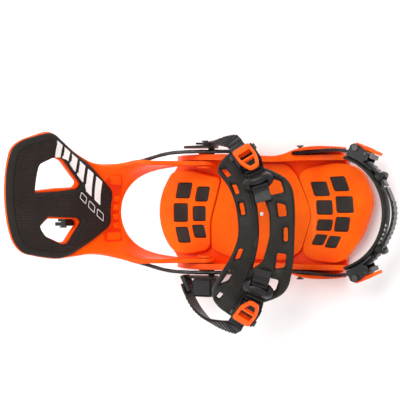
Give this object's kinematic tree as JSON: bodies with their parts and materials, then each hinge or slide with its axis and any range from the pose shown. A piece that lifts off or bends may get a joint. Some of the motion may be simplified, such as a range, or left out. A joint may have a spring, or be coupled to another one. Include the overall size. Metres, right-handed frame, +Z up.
{
  "type": "rear-entry snowboard binding",
  "caption": "Rear-entry snowboard binding: nylon base, reclining highback held by a cable and lever, ankle and toe straps with ratchets.",
  "frame": {"origin": "centre of the mounting disc's bottom face, on the board", "axes": "+X to the toe, +Y to the side, +Z up away from the board"},
  "size_m": [0.3305, 0.2027, 0.254],
  "materials": {
    "orange_nylon": "satin",
    "orange_footbed": "matte",
    "black_rubber": "matte",
    "black_foam": "knurled foam",
    "black_plastic": "satin",
    "ladder_plastic": "gloss",
    "steel": "brushed",
    "cable": "plastic coated",
    "disc_nylon": "matte"
  },
  "bodies": {
    "ankle_strap": {"ankle_keeper_left": "black_rubber", "ankle_keeper_right": "black_rubber", "ankle_ladder_left": "ladder_plastic", "ankle_ladder_right": "ladder_plastic", "ankle_pad": "black_rubber", "ankle_ratchet_frame_left": "black_plastic", "ankle_ratchet_frame_right": "black_plastic", "ankle_ratchet_pin_left": "steel", "ankle_ratchet_pin_right": "steel", "ladder_pin_left": "steel", "ladder_pin_right": "steel", "strap_link_left": "black_plastic", "strap_link_right": "black_plastic"},
    "ankle_lever_left": {"ankle_ratchet_lever_left": "orange_nylon"},
    "ankle_lever_right": {"ankle_ratchet_lever_right": "orange_nylon"},
    "ankle_pawl_left": {"ankle_ratchet_pawl_left": "steel"},
    "ankle_pawl_right": {"ankle_ratchet_pawl_right": "steel"},
    "base": {"base_chassis": "orange_nylon", "cable_anchor_bolt_left": "steel", "cable_anchor_bolt_right": "steel", "cable_eye_left": "steel", "cable_eye_right": "steel", "disc_cover": "orange_footbed", "heel_footbed": "orange_footbed", "heel_grip_pad": "black_rubber", "highback_pivot_left": "steel", "highback_pivot_right": "steel", "link_bolt_left": "steel", "link_bolt_right": "steel", "sole_pad_front": "black_rubber", "sole_pad_rear": "black_rubber", "toe_anchor_pin_left": "steel", "toe_anchor_pin_right": "steel"},
    "highback": {"cable_saddle": "black_plastic", "heel_cable": "cable", "highback_pad": "black_foam", "highback_shell": "orange_nylon", "lever_housing": "black_plastic", "lever_pin": "steel"},
    "lock_lever": {"lock_lever": "black_plastic"},
    "disc": {"mounting_disc": "disc_nylon"},
    "toe_ramp": {"toe_grip_pad": "black_rubber", "toe_ramp": "orange_footbed"},
    "toe_strap": {"toe_keeper_left": "black_rubber", "toe_keeper_right": "black_rubber", "toe_ladder_left": "ladder_plastic", "toe_ladder_right": "ladder_plastic", "toe_pad": "black_rubber", "toe_ratchet_frame_left": "black_plastic", "toe_ratchet_frame_right": "black_plastic", "toe_ratchet_pin_left": "steel", "toe_ratchet_pin_right": "steel"},
    "toe_lever_left": {"toe_ratchet_lever_left": "orange_nylon"},
    "toe_lever_right": {"toe_ratchet_lever_right": "orange_nylon"},
    "toe_pawl_left": {"toe_ratchet_pawl_left": "steel"},
    "toe_pawl_right": {"toe_ratchet_pawl_right": "steel"}
  },
  "joints": [
    {"name": "stance_angle", "type": "hinge", "parent": "base", "child": "disc", "pos_m": [0, 0, 0], "axis": [0, 0, 1], "range_deg": [-30, 30]},
    {"name": "toe_ramp_slide", "type": "slide", "parent": "base", "child": "toe_ramp", "axis": [1, 0, 0], "range_m": [0, 0.012]},
    {"name": "highback_recline", "type": "hinge", "parent": "base", "child": "highback", "pos_m": [-0.058, 0, 0.03], "axis": [0, -1, 0], "range_deg": [0, 30], "deforming": ["heel_cable"]},
    {"name": "lock_lever_turn", "type": "hinge", "parent": "highback", "child": "lock_lever", "pos_m": [-0.16034, 0, 0.14286], "axis": [0, 1, 0], "range_deg": [0, 95]},
    {"name": "ankle_strap_swing", "type": "hinge", "parent": "base", "child": "ankle_strap", "pos_m": [-0.048, 0, 0.033], "axis": [0, 1, 0], "range_deg": [-35, 6]},
    {"name": "toe_strap_swing", "type": "hinge", "parent": "base", "child": "toe_strap", "pos_m": [0.052, 0, 0.026], "axis": [0, -1, 0], "range_deg": [-5, 28]},
    {"name": "ankle_lever_left_turn", "type": "hinge", "parent": "ankle_strap", "child": "ankle_lever_left", "pos_m": [0.01988, 0.05933, 0.08919], "axis": [-0.7163, -0.5189, 0.4666], "range_deg": [0, 75]},
    {"name": "ankle_pawl_left_turn", "type": "hinge", "parent": "ankle_strap", "child": "ankle_pawl_left", "pos_m": [0.02751, 0.05221, 0.09298], "axis": [-0.7163, -0.5189, 0.4666], "range_deg": [0, 6], "stiffness_Nm_per_rad": 0.05, "springref_deg": -2.86},
    {"name": "ankle_lever_right_turn", "type": "hinge", "parent": "ankle_strap", "child": "ankle_lever_right", "pos_m": [0.01988, -0.10333, 0.08919], "axis": [0.7163, -0.5189, -0.4666], "range_deg": [0, 75]},
    {"name": "ankle_pawl_right_turn", "type": "hinge", "parent": "ankle_strap", "child": "ankle_pawl_right", "pos_m": [0.02751, -0.09621, 0.09298], "axis": [0.7163, -0.5189, -0.4666], "range_deg": [0, 6], "stiffness_Nm_per_rad": 0.05, "springref_deg": -2.86},
    {"name": "toe_lever_left_turn", "type": "hinge", "parent": "toe_strap", "child": "toe_lever_left", "pos_m": [0.12553, 0.06263, 0.04395], "axis": [0.029, 0.067, 0.9973], "range_deg": [0, 75]},
    {"name": "toe_pawl_left_turn", "type": "hinge", "parent": "toe_strap", "child": "toe_pawl_left", "pos_m": [0.13503, 0.05688, 0.04406], "axis": [0.029, 0.067, 0.9973], "range_deg": [0, 6], "stiffness_Nm_per_rad": 0.05, "springref_deg": -2.86},
    {"name": "toe_lever_right_turn", "type": "hinge", "parent": "toe_strap", "child": "toe_lever_right", "pos_m": [0.12553, -0.06263, 0.04395], "axis": [-0.029, 0.067, -0.9973], "range_deg": [0, 75]},
    {"name": "toe_pawl_right_turn", "type": "hinge", "parent": "toe_strap", "child": "toe_pawl_right", "pos_m": [0.13503, -0.05688, 0.04406], "axis": [-0.029, 0.067, -0.9973], "range_deg": [0, 6], "stiffness_Nm_per_rad": 0.05, "springref_deg": -2.86}
  ]
}
